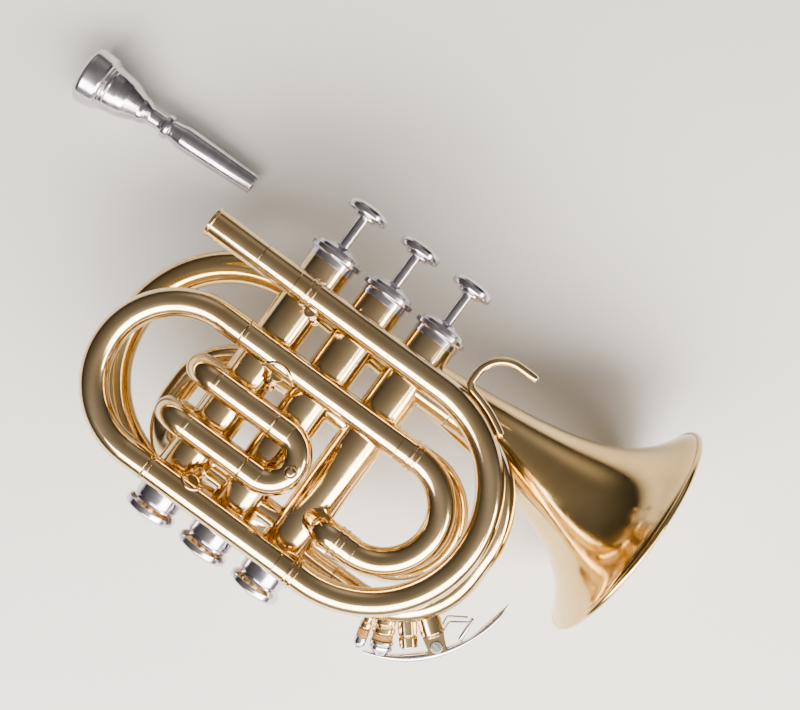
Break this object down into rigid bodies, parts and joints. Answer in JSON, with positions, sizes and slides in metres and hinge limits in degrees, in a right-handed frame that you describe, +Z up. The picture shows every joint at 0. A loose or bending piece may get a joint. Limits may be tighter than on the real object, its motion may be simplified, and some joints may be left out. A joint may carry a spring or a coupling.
{
  "type": "pocket trumpet",
  "caption": "Compact brass trumpet with piston valves, tightly wound tubing, sliding tuning bows, a water key and a flared bell, lying on its side with its mouthpiece beside it.",
  "frame": {"origin": "centre of the foot of the bounding box of the horn and its mouthpiece, on the table that they lie on", "axes": "+X towards the bell, +Y towards the finger buttons, +Z up from the table"},
  "size_m": [0.3088, 0.158, 0.1],
  "materials": {
    "brass": "polished yellow brass under clear lacquer",
    "silver_plate": "bright silver plate",
    "steel": "ground steel, lightly oiled",
    "cork": "natural cork, fine pores"
  },
  "bodies": {
    "horn": {"mouthpiece_receiver": "brass", "leadpipe": "brass", "front_bow": "brass", "lower_outer_tube": "brass", "middle_outer_tube": "brass", "inlet_bow": "brass", "inlet_ferrule": "brass", "inlet_elbow": "brass", "valve_1_casing": "brass", "valve_2_casing": "brass", "valve_3_casing": "brass", "valve_1_top_cap": "silver_plate", "valve_2_top_cap": "silver_plate", "valve_3_top_cap": "silver_plate", "valve_1_bottom_cap": "silver_plate", "valve_2_bottom_cap": "silver_plate", "valve_3_bottom_cap": "silver_plate", "valve_1_spring": "steel", "valve_2_spring": "steel", "valve_3_spring": "steel", "upper_knuckle_1": "brass", "lower_knuckle_1": "brass", "upper_knuckle_2": "brass", "lower_knuckle_2": "brass", "first_slide_upper_elbow": "brass", "first_slide_lower_elbow": "brass", "first_slide_upper_sleeve": "brass", "first_slide_lower_sleeve": "brass", "second_slide_upper_sleeve": "brass", "second_slide_lower_sleeve": "brass", "third_slide_upper_sleeve": "brass", "third_slide_lower_sleeve": "brass", "bell_line_exit_bow": "brass", "bell_line_upper_leg": "brass", "bell_line_middle_bow": "brass", "bell_line_lower_leg": "brass", "bell_bow": "brass", "bell": "brass", "little_finger_hook": "brass", "mouthpiece": "silver_plate"},
    "valve_1": {"valve_1_piston": "steel", "valve_1_stem": "silver_plate", "valve_1_finger_button": "silver_plate"},
    "valve_2": {"valve_2_piston": "steel", "valve_2_stem": "silver_plate", "valve_2_finger_button": "silver_plate"},
    "valve_3": {"valve_3_piston": "steel", "valve_3_stem": "silver_plate", "valve_3_finger_button": "silver_plate"},
    "main_tuning_slide": {"tuning_slide": "brass"},
    "first_slide": {"first_slide_bow": "brass", "first_slide_knob": "brass"},
    "second_slide": {"second_slide_bow": "brass"},
    "third_slide": {"third_slide_bow": "brass", "water_key_spout": "brass", "water_key_saddle": "brass", "water_key_pin": "steel"},
    "water_key": {"water_key_lever": "silver_plate", "water_key_cork": "cork", "water_key_spring": "steel"}
  },
  "joints": [
    {"name": "valve_1_press", "type": "slide", "parent": "horn", "child": "valve_1", "axis": [0, -1, 0], "range_m": [0, 0.0135], "stiffness_N_per_m": 120, "springref_m": -0.015},
    {"name": "valve_2_press", "type": "slide", "parent": "horn", "child": "valve_2", "axis": [0, -1, 0], "range_m": [0, 0.0135], "stiffness_N_per_m": 120, "springref_m": -0.015},
    {"name": "valve_3_press", "type": "slide", "parent": "horn", "child": "valve_3", "axis": [0, -1, 0], "range_m": [0, 0.0135], "stiffness_N_per_m": 120, "springref_m": -0.015},
    {"name": "main_slide_pull", "type": "slide", "parent": "horn", "child": "main_tuning_slide", "axis": [-1, 0, 0], "range_m": [0, 0.02]},
    {"name": "first_slide_pull", "type": "slide", "parent": "horn", "child": "first_slide", "axis": [1, 0, 0], "range_m": [0, 0.014]},
    {"name": "second_slide_pull", "type": "slide", "parent": "horn", "child": "second_slide", "axis": [0, 0, -1], "range_m": [0, 0.01]},
    {"name": "third_slide_pull", "type": "slide", "parent": "horn", "child": "third_slide", "axis": [1, 0, 0], "range_m": [0, 0.007]},
    {"name": "water_key_open", "type": "hinge", "parent": "third_slide", "child": "water_key", "pos_m": [0.11491, -0.05307, 0.07], "axis": [0, 0, 1], "range_deg": [0, 9], "stiffness_Nm_per_rad": 0.05, "springref_deg": -17.19}
  ]
}
